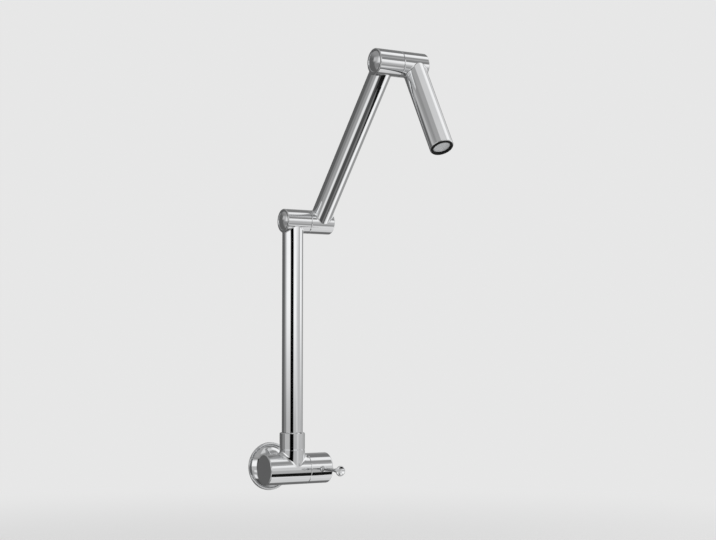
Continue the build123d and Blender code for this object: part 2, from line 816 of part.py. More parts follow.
def pivot_bolt(lathe):
    """Hollow shoulder bolt: screwed into the fixed half, it carries the moving half and the water."""
    with BuildPart() as bolt:
        turned(
            lathe,
            [
                (-seam_side - thread_wall, bolt_bore),
                (-seam_side - thread_wall, bolt_thread),
                (-seam_side, bolt_thread),
                (-seam_side, bolt_shank),
                (head_start, bolt_shank),
                (head_start, bolt_head),
                (head_end, bolt_head),
                (head_end, bolt_bore),
            ],
        )
        for start, end in bolt_grooves:
            turned(
                lathe,
                [
                    (start, bolt_shank - seal_depth),
                    (start, bolt_shank + 1),
                    (end, bolt_shank + 1),
                    (end, bolt_shank - seal_depth),
                ],
                mode=Mode.SUBTRACT,
            )
        with BuildSketch(across(lathe, head_end)) as key:
            RegularPolygon(bolt_key / 2, 6, major_radius=False)
        extrude(key.sketch, amount=-bolt_key_depth, mode=Mode.SUBTRACT)
    return bolt


def pivot_seals(lathe):
    """Two rubber rings in the bolt's grooves."""
    return rings(
        lathe,
        bolt_shank - seal_depth + film,
        bolt_shank + slip - film,
        [(start + film, end - film) for start, end in bolt_grooves],
    )


def pivot_washers(lathe, barrel_size):
    """Slip washers: a thin wide one in the seam and one under the bolt's head."""
    hole = bolt_shank + 2 * slip
    rim = barrel_size[0] - 2 * edge_break
    with BuildPart() as washers:
        for start, end, outer in (
            (film - seam_side, seam_side - film, rim),
            (bearing_end + film, head_start - film, bolt_head),
        ):
            turned(lathe, [(start, hole), (start, outer), (end, outer), (end, hole)])
    return washers


def tube_between(lathe, outer, wall, start, end):
    """Plain tube."""
    return rings(lathe, outer - wall, outer, [(start, end)])


rightwards = Vector(1, 0, 0)
arm_tube_size = (tube_radius, tube_wall)
spout_tube_size = (spout_radius, spout_wall)
fixed_wall = (thread_wall, bolt_thread)
moving_wall = (bearing_wall, bolt_shank)

lower_fixed = elbow_lathe(lower_elbow, rightwards, Vector(0, 0, -1))
lower_fixed_size = (lower_elbow_radius, lower_fixed_end, lower_fixed_seam)
save(elbow_half(lower_fixed, lower_fixed_size, arm_tube_size, fixed_wall), "lower_fixed_housing")
save(elbow_cap(lower_fixed, lower_fixed_size), "lower_fixed_cap")
save(elbow_cap_seal(lower_fixed, lower_fixed_size), "lower_fixed_cap_seal")

lower_moving = elbow_lathe(arm_foot, -rightwards, arm_direction)
lower_moving_size = (lower_elbow_radius, lower_moving_end, lower_moving_seam)
save(elbow_half(lower_moving, lower_moving_size, arm_tube_size, moving_wall), "lower_moving_housing")
save(elbow_cap(lower_moving, lower_moving_size), "lower_moving_cap")
save(elbow_cap_seal(lower_moving, lower_moving_size), "lower_moving_cap_seal")

upper_fixed = elbow_lathe(upper_elbow, rightwards, -arm_direction)
upper_fixed_size = (upper_elbow_radius, upper_fixed_end, upper_fixed_seam)
save(elbow_half(upper_fixed, upper_fixed_size, arm_tube_size, fixed_wall), "upper_fixed_housing")
save(elbow_cap(upper_fixed, upper_fixed_size), "upper_fixed_cap")
save(elbow_cap_seal(upper_fixed, upper_fixed_size), "upper_fixed_cap_seal")

upper_moving = elbow_lathe(spout_root, -rightwards, spout_direction)
upper_moving_size = (upper_elbow_radius, upper_moving_end, upper_moving_seam)
save(elbow_half(upper_moving, upper_moving_size, spout_tube_size, moving_wall), "upper_moving_housing")
save(elbow_cap(upper_moving, upper_moving_size), "upper_moving_cap")
save(elbow_cap_seal(upper_moving, upper_moving_size), "upper_moving_cap_seal")

lower_pivot = elbow_lathe(lower_seam, rightwards, Vector(0, 0, -1))
save(pivot_bolt(lower_pivot), "lower_pivot_bolt")
save(pivot_seals(lower_pivot), "lower_pivot_seals")
save(pivot_washers(lower_pivot, lower_fixed_size), "lower_pivot_washers")

upper_pivot = elbow_lathe(upper_seam, rightwards, -arm_direction)
save(pivot_bolt(upper_pivot), "upper_pivot_bolt")
save(pivot_seals(upper_pivot), "upper_pivot_seals")
save(pivot_washers(upper_pivot, upper_fixed_size), "upper_pivot_washers")

riser_tube = tube_between(
    riser_lathe, tube_radius, tube_wall, riser_foot, riser_height - elbow_branch
)
save(riser_tube, "riser_tube")
arm_tube = tube_between(
    tube_lathe(arm_foot, arm_direction),
    tube_radius, tube_wall, elbow_branch, arm_length - elbow_branch,
)
save(arm_tube, "arm_tube")

# ---- Spout and aerator ----------------------------------------------------------------------------------
spout_lathe = tube_lathe(spout_root, spout_direction)
aerator_start = spout_length - aerator_length
flange_start = spout_length - aerator_rim
aerator_thread = spout_radius - spout_wall - slip
with BuildPart() as spout_tube:
    turned(
        spout_lathe,
        [
            (elbow_branch, spout_radius - spout_wall),
            (elbow_branch, spout_radius),
            (spout_length, spout_radius),
            (spout_length, aerator_flange + slip),
            (flange_start, aerator_flange + slip),
            (flange_start, spout_radius - spout_wall),
        ],
    )
    fillet(round_edges(spout_tube, spout_lathe, spout_length, spout_radius), mouth_rounding)
save(spout_tube, "spout_tube")

aerator_face = spout_length + aerator_proud
lip_start = aerator_face - aerator_lip
with BuildPart() as aerator_shell:
    turned(
        spout_lathe,
        [
            (aerator_start, insert_radius + slip),
            (aerator_start, aerator_thread),
            (flange_start, aerator_thread),
            (flange_start, aerator_flange),
            (aerator_face, aerator_flange),
            (aerator_face, aerator_opening),
            (lip_start, aerator_opening),
            (lip_start, insert_radius + slip),
        ],
    )
    chamfer(round_edges(aerator_shell, spout_lathe, aerator_face, aerator_opening), 2 * edge_break)
    fillet(round_edges(aerator_shell, spout_lathe, aerator_face, aerator_flange), edge_break)
save(aerator_shell, "aerator_shell")

cell_reach = cell_rings * cell_pitch + cell_pitch / 2
with BuildPart() as aerator_insert:
    with BuildSketch(across(spout_lathe, lip_start - film)):
        Circle(insert_radius)
        grid = HexLocations(cell_pitch / 2, 2 * cell_rings + 1, 2 * cell_rings + 1, major_radius=False)
        cells = [place for place in grid.locations if place.position.length < cell_reach]
        with Locations(*cells):
            RegularPolygon(cell_width / 2, 6, major_radius=False, mode=Mode.SUBTRACT)
    extrude(amount=-insert_thickness)
save(aerator_insert, "aerator_insert")

aerator_washer = rings(
    spout_lathe,
    water_bore,
    aerator_thread,
    [(aerator_start - washer_thickness, aerator_start - film)],
)
save(aerator_washer, "aerator_washer")
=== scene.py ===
import math

import bmesh
import bpy
from mathutils import Matrix, Vector


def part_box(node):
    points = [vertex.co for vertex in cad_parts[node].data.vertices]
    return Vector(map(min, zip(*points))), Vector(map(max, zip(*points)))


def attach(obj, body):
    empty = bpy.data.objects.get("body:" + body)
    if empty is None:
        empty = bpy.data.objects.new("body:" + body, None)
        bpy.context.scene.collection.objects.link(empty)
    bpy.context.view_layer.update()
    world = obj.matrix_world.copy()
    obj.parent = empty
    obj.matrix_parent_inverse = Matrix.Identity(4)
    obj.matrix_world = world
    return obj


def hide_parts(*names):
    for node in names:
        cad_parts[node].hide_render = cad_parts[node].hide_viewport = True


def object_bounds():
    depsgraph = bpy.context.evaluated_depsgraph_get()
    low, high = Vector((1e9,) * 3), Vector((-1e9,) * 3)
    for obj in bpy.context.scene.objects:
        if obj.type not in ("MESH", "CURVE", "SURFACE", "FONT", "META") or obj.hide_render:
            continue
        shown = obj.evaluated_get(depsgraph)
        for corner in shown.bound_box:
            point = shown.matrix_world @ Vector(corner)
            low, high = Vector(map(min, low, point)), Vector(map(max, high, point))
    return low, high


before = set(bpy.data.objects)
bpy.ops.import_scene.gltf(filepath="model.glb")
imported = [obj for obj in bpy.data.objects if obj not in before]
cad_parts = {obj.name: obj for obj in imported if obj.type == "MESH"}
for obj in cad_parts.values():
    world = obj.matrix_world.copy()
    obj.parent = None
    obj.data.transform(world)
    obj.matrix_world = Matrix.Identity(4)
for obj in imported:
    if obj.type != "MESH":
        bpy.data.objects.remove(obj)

cad_low, cad_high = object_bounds()

# ---- Camera ---------------------------------------------------------------------------------------------
# The camera stands to the left of the tap, 1.6 m away and a little higher than the wall inlet, and looks
# slightly up, so that the left ends of the valve barrel and of both elbows are seen.
camera_stands = (-0.77546, -1.42684, 0.12358)
looks_up = 3.075
looks_right = 31.874


def placed(name, data):
    """A new object in the scene."""
    made = bpy.data.objects.new(name, data)
    bpy.context.scene.collection.objects.link(made)
    return made


camera_data = bpy.data.cameras.new("camera")
camera_data.sensor_width = 36.0
camera_data.lens = 75.56
camera_data.clip_start = 0.05
camera_data.clip_end = 60.0
camera = placed("camera", camera_data)
camera.location = camera_stands
camera.rotation_euler = (math.radians(90 + looks_up), 0.0, math.radians(-looks_right))
bpy.context.scene.camera = camera
bpy.context.scene.view_settings.view_transform = "Standard"

# ---- Floor, light tent and lamps ------------------------------------------------------------------------
# A plain pale floor under the tap fades into pale surroundings far away, so that no line is seen there.
# Polished plating shows what stands round it, so it has the soft panels of a light tent to mirror, and two
# nearer sheets. All of them are seen in reflections only.
mm = 0.001
pale = 0.80
tent_grey = 0.36
soft_light = 0.76
softest_foot = 16       # degrees: a panel's foot and top are never softer than this
half_turn = 180
full_turn = 360
# The camera's bearing from the tap, clockwise from straight into the wall as seen from above.
camera_bearing = 209.4


def grey(level):
    """A neutral colour of the given brightness."""
    return (level, level, level, 1)


def linked(tree, kind, **feeds):
    """A shader node with its inputs set to values or linked to other nodes' outputs."""
    made = tree.nodes.new("ShaderNode" + kind)
    for name, feed in feeds.items():
        socket = made.inputs[name.replace("_", " ")]
        if isinstance(feed, bpy.types.NodeSocket):
            tree.links.new(feed, socket)
        else:
            socket.default_value = feed
    return made


def worked(tree, operation, *terms):
    """One arithmetic step on numbers or other nodes' outputs."""
    made = tree.nodes.new("ShaderNodeMath")
    made.operation = operation
    for place, term in enumerate(terms):
        if isinstance(term, bpy.types.NodeSocket):
            tree.links.new(term, made.inputs[place])
        else:
            made.inputs[place].default_value = term
    return made.outputs[0]


def ranged(tree, value, low, high, new_low=0.0, new_high=1.0, smooth=False):
    """A value stretched from one range to another."""
    made = linked(tree, "MapRange", Value=value)
    if smooth:
        made.interpolation_type = "SMOOTHSTEP"
    for socket, number in (("From Min", low), ("From Max", high), ("To Min", new_low), ("To Max", new_high)):
        made.inputs[socket].default_value = number
    return made.outputs[0]


def covered(tree, value, low, high, soft):
    """1 between low and high and 0 outside, with soft edges."""
    rise = ranged(tree, value, low - soft / 2, low + soft / 2, smooth=True)
    fall = ranged(tree, value, high - soft / 2, high + soft / 2, smooth=True)
    return worked(tree, "SUBTRACT", rise, fall)


world = bpy.data.worlds.new("light_tent")
world.use_nodes = True
bpy.context.scene.world = world
tree = world.node_tree
tree.nodes.clear()
toward = tree.nodes.new("ShaderNodeTexCoord").outputs["Generated"]
split = linked(tree, "SeparateXYZ", Vector=toward)
heading = worked(tree, "DEGREES", worked(tree, "ARCTAN2", split.outputs["X"], split.outputs["Y"]))
turn = worked(tree, "SUBTRACT", camera_bearing + full_turn + half_turn, heading)
round_tap = worked(tree, "SUBTRACT", worked(tree, "MODULO", turn, full_turn), half_turn)
height = worked(tree, "DEGREES", worked(tree, "ARCSINE", split.outputs["Z"]))

# Each panel: from and to in degrees round the tap, 0 on the camera's side and more towards the picture's
# right, foot and top in degrees of height, brightness, soft edge. Later panels cover earlier ones.
bright = tent_grey
for side, other_side, foot, top, glow, soft in (
    (-185, 185, 22, 50, 0.29, 10),      # dim band all round, over the tap
    (-60, -15, 36, 58, 0.38, 14),       # lighter part of it on the left
    (-14, 90, 53, 95, 0.66, 12),        # lit roof
    (-185, 80, -95, -53, 0.08, 10),     # dark ground
    (22, 64, -95, -60, 0.19, 16),       # lighter card lying on it
    (-192, -96, -50, 24, 0.12, 22),     # dark opening on the left
    (-108, -86, 8, 22, 0.50, 9),        # pale card over its edge
    (-74, 30, -12, 24, 1.0, 34),        # left end of the front panel, fading out
    (-46, 48, -24, 22, 1.0, 18),        # large white front panel
    (-58, -32, -54, -36, 0.86, 10),     # white card below it on the left
    (46, 90, 11, 28, 0.24, 8),          # dark strip on the right, over the bands below
    (46, 90, 29, 35, 0.42, 5),          # lighter strip over that
    (50, 86, -7, 11, 0.62, 10),         # right side of the front, in five bands
    (66, 90, -7, 11, 0.50, 8),
    (50, 86, -24, -7, 0.46, 10),
    (50, 86, -34, -24, 0.30, 8),
    (50, 86, -55, -34, 0.74, 10),
    (84, 148, -66, -36, 0.66, 12),      # pale card low on the right
    (112, 154, -36, 12, 0.34, 16),      # grey panel behind the tall one
    (112, 148, 12, 38, 0.68, 12),       # its lit top
    (90, 121, -54, 62, 1.0, 12),        # tall white panel on the right
    (82, 97, 47, 62, 0.90, 8),          # lamp in the roof
    (124, 185, 38, 80, 0.20, 12),       # dark corners behind the tap, high and low
    (152, 185, -75, -20, 0.15, 14),
    (-100, -68, -18, -0.5, 0.24, 6),    # greyer feet of the upright panels, from left to right
    (-68, -14, -18, -0.5, 0.50, 6),
    (6, 44, -18, -0.8, 0.48, 6),
    (90, 121, -18, -0.5, 0.46, 6),
    (-22, 12, -24, 30, 0.0, 8),         # black gap in the front panel
):
    across = covered(tree, round_tap, side, other_side, soft)
    upright = covered(tree, height, foot, top, min(soft, softest_foot))
    layer = linked(tree, "Mix", Factor=worked(tree, "MULTIPLY", across, upright), A=bright, B=glow)
    bright = layer.outputs["Result"]

mirrored = linked(tree, "Background", Color=bright)
lighting = linked(tree, "Background", Color=grey(soft_light))
seen = linked(tree, "Background", Color=grey(pale))
path = tree.nodes.new("ShaderNodeLightPath")
in_plating = tree.nodes.new("ShaderNodeMixShader")
to_eye = tree.nodes.new("ShaderNodeMixShader")
surface = tree.nodes.new("ShaderNodeOutputWorld")
for chosen, factor, first, second in (
    (in_plating, "Is Glossy Ray", lighting, mirrored),
    (to_eye, "Is Camera Ray", in_plating, seen),
):
    tree.links.new(path.outputs[factor], chosen.inputs[0])
    tree.links.new(first.outputs[0], chosen.inputs[1])
    tree.links.new(second.outputs[0], chosen.inputs[2])
tree.links.new(to_eye.outputs[0], surface.inputs[0])

floor_drop = 120 * mm
floor_level = cad_low.z - floor_drop
floor_reach = 12.0
floor_corners = 72
fade_from = 0.35
fade_to = 1.4
around = [math.tau * k / floor_corners for k in range(floor_corners)]
floor_mesh = bpy.data.meshes.new("floor")
floor_mesh.from_pydata(
    [(floor_reach * math.cos(a), floor_reach * math.sin(a), floor_level) for a in around],
    [], [range(floor_corners)],
)
floor = placed("floor", floor_mesh)
floor_paint = bpy.data.materials.new("pale_floor")
floor_paint.use_nodes = True
tree = floor_paint.node_tree
matt = tree.nodes["Principled BSDF"]
matt.inputs["Roughness"].default_value = 0.9
matt.inputs["Base Color"].default_value = grey(pale)
far_off = linked(tree, "Emission", Color=grey(pale))
reach = tree.nodes.new("ShaderNodeVectorMath")
reach.operation = "LENGTH"
tree.links.new(tree.nodes.new("ShaderNodeTexCoord").outputs["Object"], reach.inputs[0])
fading = tree.nodes.new("ShaderNodeMixShader")
tree.links.new(ranged(tree, reach.outputs["Value"], fade_from, fade_to, smooth=True), fading.inputs[0])
tree.links.new(matt.outputs[0], fading.inputs[1])
tree.links.new(far_off.outputs[0], fading.inputs[2])
tree.links.new(fading.outputs[0], tree.nodes["Material Output"].inputs[0])
floor_mesh.materials.append(floor_paint)
floor.visible_glossy = False

barrel_y = -47 * mm
strips = 12


def hung(name, paint, away, side, other_side, foot, top):
    """A bent sheet round the barrel that only the plating shows, its sides in degrees as the panels' are."""
    corners = []
    for k in range(strips + 1):
        bearing = math.radians(camera_bearing - side - (other_side - side) * k / strips)
        for level in (foot, top):
            corners.append((away * math.sin(bearing), barrel_y + away * math.cos(bearing), level))
    mesh = bpy.data.meshes.new(name)
    mesh.from_pydata(corners, [], [(2 * k, 2 * k + 1, 2 * k + 3, 2 * k + 2) for k in range(strips)])
    mesh.materials.append(paint)
    sheet = placed(name, mesh)
    sheet.visible_camera = False
    sheet.visible_diffuse = False
    sheet.visible_shadow = False


# A black cloth low in front of the valve is the dark line along the barrel.
cloth_black = 0.003
cloth_away = 0.55
cloth_left = 8.4
cloth_right = 75.4
cloth_foot = -cloth_away * math.tan(math.radians(44.0))
cloth_top = -cloth_away * math.tan(math.radians(24.5))
black = bpy.data.materials.new("black_cloth")
black.use_nodes = True
black_shader = black.node_tree.nodes["Principled BSDF"]
black_shader.inputs["Base Color"].default_value = grey(cloth_black)
black_shader.inputs["Roughness"].default_value = 1.0
hung("black_cloth", black, cloth_away, cloth_left, cloth_right, cloth_foot, cloth_top)

# A lit board on the right stands nearer than the rest, so the valve shows it higher up than the elbows do.
# It brightens upwards from near its foot.
board_away = 1.25
board_left = 46.4
board_right = 66.4
board_foot = 0.17
board_top = 0.64
dim_below = 0.20
full_above = 0.42
dim_glow = 0.61
full_glow = 0.93
lit = bpy.data.materials.new("lit_board")
lit.use_nodes = True
tree = lit.node_tree
tree.nodes.remove(tree.nodes["Principled BSDF"])
board_place = linked(tree, "SeparateXYZ", Vector=tree.nodes.new("ShaderNodeTexCoord").outputs["Object"])
board_glow = ranged(tree, board_place.outputs["Z"], dim_below, full_above, dim_glow, full_glow)
glowing = linked(tree, "Emission", Color=board_glow)
tree.links.new(glowing.outputs[0], tree.nodes["Material Output"].inputs[0])
hung("lit_board", lit, board_away, board_left, board_right, board_foot, board_top)

lamp_aim = Vector((0, -0.1, 0.2))
for lamp_name, stands, power in (
    ("lamp_left", Vector((-1.2, -1.3, 1.2)), 9.0),
    ("lamp_right", Vector((1.3, -1.1, 1.0)), 6.5),
):
    lamp_data = bpy.data.lights.new(lamp_name, "AREA")
    lamp_data.shape = "DISK"
    lamp_data.size = 1.0
    lamp_data.energy = power
    lamp = placed(lamp_name, lamp_data)
    lamp.location = stands
    lamp.rotation_euler = (lamp_aim - stands).to_track_quat("-Z", "Y").to_euler()
    lamp.visible_glossy = False

# ---- Cover plate ----------------------------------------------------------------------------------------
# A spun brass dome, plated and polished, with a narrow bead round its rim and a groove inside the bead. A
# rubber ring on the valve's neck holds it, and its rim stands on the wall over a flat rubber gasket.


def begun(name, metallic=1.0):
    """A new finish, with its nodes, its shader and the places on the piece that wears it."""
    finish = bpy.data.materials.new(name)
    finish.use_nodes = True
    tree = finish.node_tree
    shader = tree.nodes["Principled BSDF"]
    shader.inputs["Metallic"].default_value = metallic
    return finish, tree, shader, tree.nodes.new("ShaderNodeTexCoord").outputs["Object"]


def toned(tree, value, low, low_colour, high, high_colour):
    """A colour that passes from one tone to the other while a value rises from low to high."""
    ramp = linked(tree, "ValToRGB", Fac=value)
    for stop, place, colour in zip(ramp.color_ramp.elements, (low, high), (low_colour, high_colour)):
        stop.position = place
        stop.color = (*colour, 1)
    return ramp.outputs["Color"]


def coated(tree, shader, colour, roughness, relief, strength, depth):
    """Gives a finish's shader its colour, its roughness and a fine relief of the given depth."""
    bump = linked(tree, "Bump", Strength=strength, Distance=depth, Height=relief)
    tree.links.new(colour, shader.inputs["Base Color"])
    tree.links.new(roughness, shader.inputs["Roughness"])
    tree.links.new(bump.outputs[0], shader.inputs["Normal"])


def plated(name, shade):
    """Chrome plating on buffed brass: a cold mirror with faint wipe marks and a trace of waviness."""
    finish, tree, shader, place = begun(name)
    wiped = linked(tree, "TexNoise", Vector=place, Scale=45.0, Detail=5.0, Roughness=0.6).outputs["Fac"]
    waves = linked(tree, "TexNoise", Vector=place, Scale=60.0, Detail=1.0).outputs["Fac"]
    smeared = (shade * 0.96, shade * 0.97, shade * 0.98)
    clean = (shade, shade * 1.005, shade * 1.015)
    colour = toned(tree, wiped, 0.3, smeared, 0.7, clean)
    roughness = ranged(tree, wiped, 0.35, 0.75, new_low=0.030, new_high=0.062)
    coated(tree, shader, colour, roughness, waves, strength=0.2, depth=0.03 * mm)
    return finish


def moulded(name, shade, roughness, grain, depth):
    """Moulded rubber or plastic: a dull skin with the fine grain of its mould and slight patches."""
    finish, tree, shader, place = begun(name, metallic=0.0)
    speckle = linked(tree, "TexNoise", Vector=place, Scale=grain, Detail=5.0).outputs["Fac"]
    patches = linked(tree, "TexNoise", Vector=place, Scale=grain / 12, Detail=3.0).outputs["Fac"]
    mottle = worked(tree, "MULTIPLY_ADD", patches, 0.6, speckle)
    darker = [c * 0.8 for c in shade]
    paler = [min(1.0, c * 1.12) for c in shade]
    colour = toned(tree, mottle, 0.55, darker, 1.0, paler)
    uneven = 0.06
    dullness = ranged(tree, patches, 0.3, 0.7, roughness - uneven, roughness + uneven)
    coated(tree, shader, colour, dullness, speckle, strength=0.5, depth=depth)
    return finish


def finished(finish, *names):
    """Gives pieces that keep their machined shape a finish."""
    for name in names:
        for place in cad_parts[name].material_slots:
            place.material = finish


def rounded(*corners):
    """Outline of a turned piece from (along, radius) corners, where a third number rounds that corner."""
    degrees_a_step = 6
    points = []
    for place, corner in enumerate(corners):
        here = Vector(corner[:2])
        if len(corner) == 2:
            points.append(here)
            continue
        back = (Vector(corners[place - 1][:2]) - here).normalized()
        ahead = (Vector(corners[place + 1][:2]) - here).normalized()
        half = back.angle(ahead) / 2
        centre = here + (back + ahead).normalized() * corner[2] / math.sin(half)
        spoke = here + back * corner[2] / math.tan(half) - centre
        sweep = spoke.angle_signed(here + ahead * corner[2] / math.tan(half) - centre)
        count = max(3, round(abs(math.degrees(sweep)) / degrees_a_step))
        points += [centre + Matrix.Rotation(-sweep * k / count, 2) @ spoke for k in range(count + 1)]
    return points


def bowed(first, last, bulge, count=24):
    """Points along a shallow arc that rises by the bulge to the left of the way from first to last."""
    first, last = Vector(first), Vector(last)
    chord = last - first
    left = Vector((-chord.y, chord.x)).normalized() * math.copysign(1, bulge)
    radius = (chord.length ** 2 / 4 + bulge ** 2) / (2 * abs(bulge))
    centre = (first + last) / 2 - left * (radius - abs(bulge))
    spoke = first - centre
    sweep = spoke.angle_signed(last - centre)
    return [centre + Matrix.Rotation(-sweep * k / count, 2) @ spoke for k in range(count + 1)]


def spun(name, outline, foot, along, segments=160, crease=math.radians(25)):
    """A closed outline of (along, radius) points swept round an axis, with the normals of true curves."""
    along = Vector(along).normalized()
    across = along.orthogonal().normalized()
    upward = along.cross(across)
    spokes = [
        across * math.cos(math.tau * k / segments) + upward * math.sin(math.tau * k / segments)
        for k in range(segments)
    ]
    count = len(outline)
    area = sum(a.x * b.y - b.x * a.y for a, b in zip(outline, outline[1:] + outline[:1]))
    side = math.copysign(1, area)
    legs = [outline[(k + 1) % count] - outline[k] for k in range(count)]
    outward = [Vector((leg.y, -leg.x)).normalized() * side for leg in legs]

    def bend(leg, other):
        """Normal of a leg at its end, blended with its neighbour's where the outline bends only a little."""
        if outward[leg].angle(outward[other]) > crease:
            return outward[leg]
        return (outward[leg] * legs[other].length + outward[other] * legs[leg].length).normalized()

    faces, normals = [], []
    for leg in range(count):
        after = (leg + 1) % count
        for k in range(segments):
            m = (k + 1) % segments
            ends = (bend(leg, leg - 1), bend(leg, after))
            corners = [(leg, k, ends[0]), (leg, m, ends[0]), (after, m, ends[1]), (after, k, ends[1])]
            for ring_at, step, flat in corners[:: -1 if side > 0 else 1]:
                faces.append(ring_at * segments + step)
                normals.append(along * flat.x + spokes[step] * flat.y)
    mesh = bpy.data.meshes.new(name)
    mesh.from_pydata(
        [Vector(foot) + along * point.x + spoke * point.y for point in outline for spoke in spokes],
        [], [faces[k:k + 4] for k in range(0, len(faces), 4)],
    )
    mesh.polygons.foreach_set("use_smooth", [True] * len(mesh.polygons))
    mesh.normals_split_custom_set(normals)
    return placed(name, mesh)


plating = plated("polished_chrome", shade=0.90)
rubber = moulded("black_rubber", (0.030, 0.030, 0.032), roughness=0.62, grain=2500.0, depth=0.05 * mm)
plate_low, plate_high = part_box("wall_flange")
rim_radius = plate_high.x
plate_height = -plate_low.y
sheet = 1.2 * mm
neck_hole = 12.8 * mm
bead_height = 1.9 * mm
bead_width = 2.3 * mm
bead_slope = 0.2 * mm
bead_outer_round = 0.9 * mm
bead_inner_round = 0.7 * mm
groove_height = 1.2 * mm
dome_bulge = 1.2 * mm
lip_depth = 4 * mm
lip_slope = 0.3 * mm
lip_flat = 0.7 * sheet
lip_round = 0.4 * mm
inner_bulge = 1.0 * mm
inner_rise = 1.0 * mm
inner_drop = 1.5 * mm
dome_foot = (groove_height, rim_radius - bead_width - bead_slope)
dome_top = (plate_height - lip_slope, neck_hole + sheet)
inner_foot = (inner_rise, dome_foot[1] - sheet)
inner_top = (plate_height - inner_drop, neck_hole + sheet)
cover = spun(
    "beaded_cover_plate",
    rounded(
        (0, rim_radius - sheet),
        (0, rim_radius),
        (bead_height, rim_radius, bead_outer_round),
        (bead_height, rim_radius - bead_width, bead_inner_round),
        dome_foot,
    )
    + bowed(dome_foot, dome_top, dome_bulge)[1:]
    + rounded(
        dome_top,
        (plate_height, neck_hole + lip_flat),
        (plate_height, neck_hole, lip_round),
        (plate_height - lip_depth, neck_hole),
        (plate_height - lip_depth, neck_hole + sheet),
        inner_top,
    )[1:]
    + bowed(inner_top, inner_foot, -inner_bulge)[1:],
    (0, 0, 0), (0, -1, 0),
)
cover.data.materials.append(plating)
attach(cover, "wall_mount")
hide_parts("wall_flange")
finished(rubber, "flange_gasket", "flange_o_ring")

# ---- Inlet nipple ---------------------------------------------------------------------------------------
# A turned brass nipple with half inch pipe thread at both ends, the one for the pipe in the wall and the
# other for the valve's neck, where it seats on a red fibre washer. A hexagon key fits in at the valve's end.


def turned_brass(name, along):
    """Bare brass off the lathe, with fine rings of tool marks along the given axis and a little tarnish."""
    finish, tree, shader, place = begun(name)
    rings = linked(tree, "TexWave", Vector=place, Scale=900.0, Distortion=1.5, Detail=2.0)
    rings.bands_direction = along
    tarnish = linked(tree, "TexNoise", Vector=place, Scale=120.0, Detail=5.0).outputs["Fac"]
    tarnished = (0.50, 0.36, 0.15)
    clean = (0.76, 0.60, 0.31)
    colour = toned(tree, tarnish, 0.35, tarnished, 0.65, clean)
    roughness = ranged(tree, tarnish, 0.3, 0.7, new_low=0.18, new_high=0.34)
    coated(tree, shader, colour, roughness, rings.outputs["Fac"], strength=0.3, depth=0.03 * mm)
    return finish


nipple_low, nipple_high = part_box("inlet_nipple")
inch = 25.4 * mm
threads_an_inch = 14
thread_radius = nipple_high.x
thread_pitch = inch / threads_an_inch
thread_depth = 0.64 * thread_pitch
root_radius = thread_radius - thread_depth
plain_from = -3.5 * mm
plain_to = 0.5 * mm
waterway = 6.5 * mm
key_width = 13 * mm
key_depth = 8 * mm
key_side = math.tau / 6
rows_a_pitch = 16
root_rows = 1
flank_rows = 6
steps_round = 96
thread_crease = math.radians(24)
merge_gap = 0.002 * mm
least_edge = 0.0005 * mm


def ring(shell, along, radius_at):
    """One ring of points round the nipple's axis."""
    made = []
    for step in range(steps_round):
        angle = math.tau * step / steps_round
        radius = radius_at(angle)
        made.append(shell.verts.new((radius * math.cos(angle), along, radius * math.sin(angle))))
    return made


def hexagon(angle):
    """Distance from the axis to the hexagon's side at an angle."""
    return key_width / 2 / math.cos((angle + key_side / 2) % key_side - key_side / 2)


shell = bmesh.new()
winding = []
for row in range(math.ceil((nipple_high.y - nipple_low.y) / thread_pitch + 2) * rows_a_pitch):
    from_root = min(row % rows_a_pitch, rows_a_pitch - row % rows_a_pitch)
    ridge = thread_depth * min(1, max(0, (from_root - root_rows) / flank_rows))
    line = []
    for step in range(steps_round + 1):
        along = nipple_low.y + thread_pitch * (row / rows_a_pitch - 1 + step / steps_round)
        along = min(max(along, nipple_low.y), nipple_high.y)
        from_end = min(along - nipple_low.y, nipple_high.y - along)
        from_plain = max(plain_from - along, along - plain_to, 0)
        radius = root_radius + min(ridge, from_end, from_plain)
        angle = math.tau * step / steps_round
        line.append(shell.verts.new((radius * math.cos(angle), along, radius * math.sin(angle))))
    winding.append(line)
bands = list(zip(winding, winding[1:]))
root_ends = [ring(shell, along, lambda angle: root_radius) for along in (nipple_low.y, nipple_high.y)]
inside = [
    ring(shell, nipple_high.y, lambda angle: waterway),
    ring(shell, nipple_low.y + key_depth, lambda angle: waterway),
    ring(shell, nipple_low.y + key_depth, hexagon),
    ring(shell, nipple_low.y, hexagon),
]
closed = [made + made[:1] for made in (root_ends[1], *inside, root_ends[0])]
bands += zip(closed, closed[1:])
for near, far in bands:
    for step in range(len(near) - 1):
        shell.faces.new((near[step], near[step + 1], far[step + 1], far[step]))
bmesh.ops.remove_doubles(shell, verts=shell.verts, dist=merge_gap)
bmesh.ops.dissolve_degenerate(shell, edges=shell.edges, dist=least_edge)
bmesh.ops.recalc_face_normals(shell, faces=shell.faces)
nipple_mesh = bpy.data.meshes.new("threaded_nipple")
shell.to_mesh(nipple_mesh)
shell.free()
nipple_mesh.polygons.foreach_set("use_smooth", [True] * len(nipple_mesh.polygons))
nipple_mesh.set_sharp_from_angle(angle=thread_crease)
nipple_mesh.materials.append(turned_brass("turned_brass_inlet", "Y"))
nipple = placed("threaded_nipple", nipple_mesh)
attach(nipple, "wall_mount")
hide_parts("inlet_nipple")
red_fibre = moulded("red_fibre", (0.42, 0.12, 0.07), roughness=0.7, grain=700.0, depth=0.06 * mm)
finished(red_fibre, "inlet_washer")

# ---- Valve body and its end plug ------------------------------------------------------------------------
# One brass casting: the barrel that lies along the wall, the branch that carries the riser and the neck to
# the wall, blended on the buffing wheel and plated. A flat plug closes its left end over a rubber seal.
finished(plating, "valve_body", "body_end_plug")
finished(rubber, "end_plug_seal")

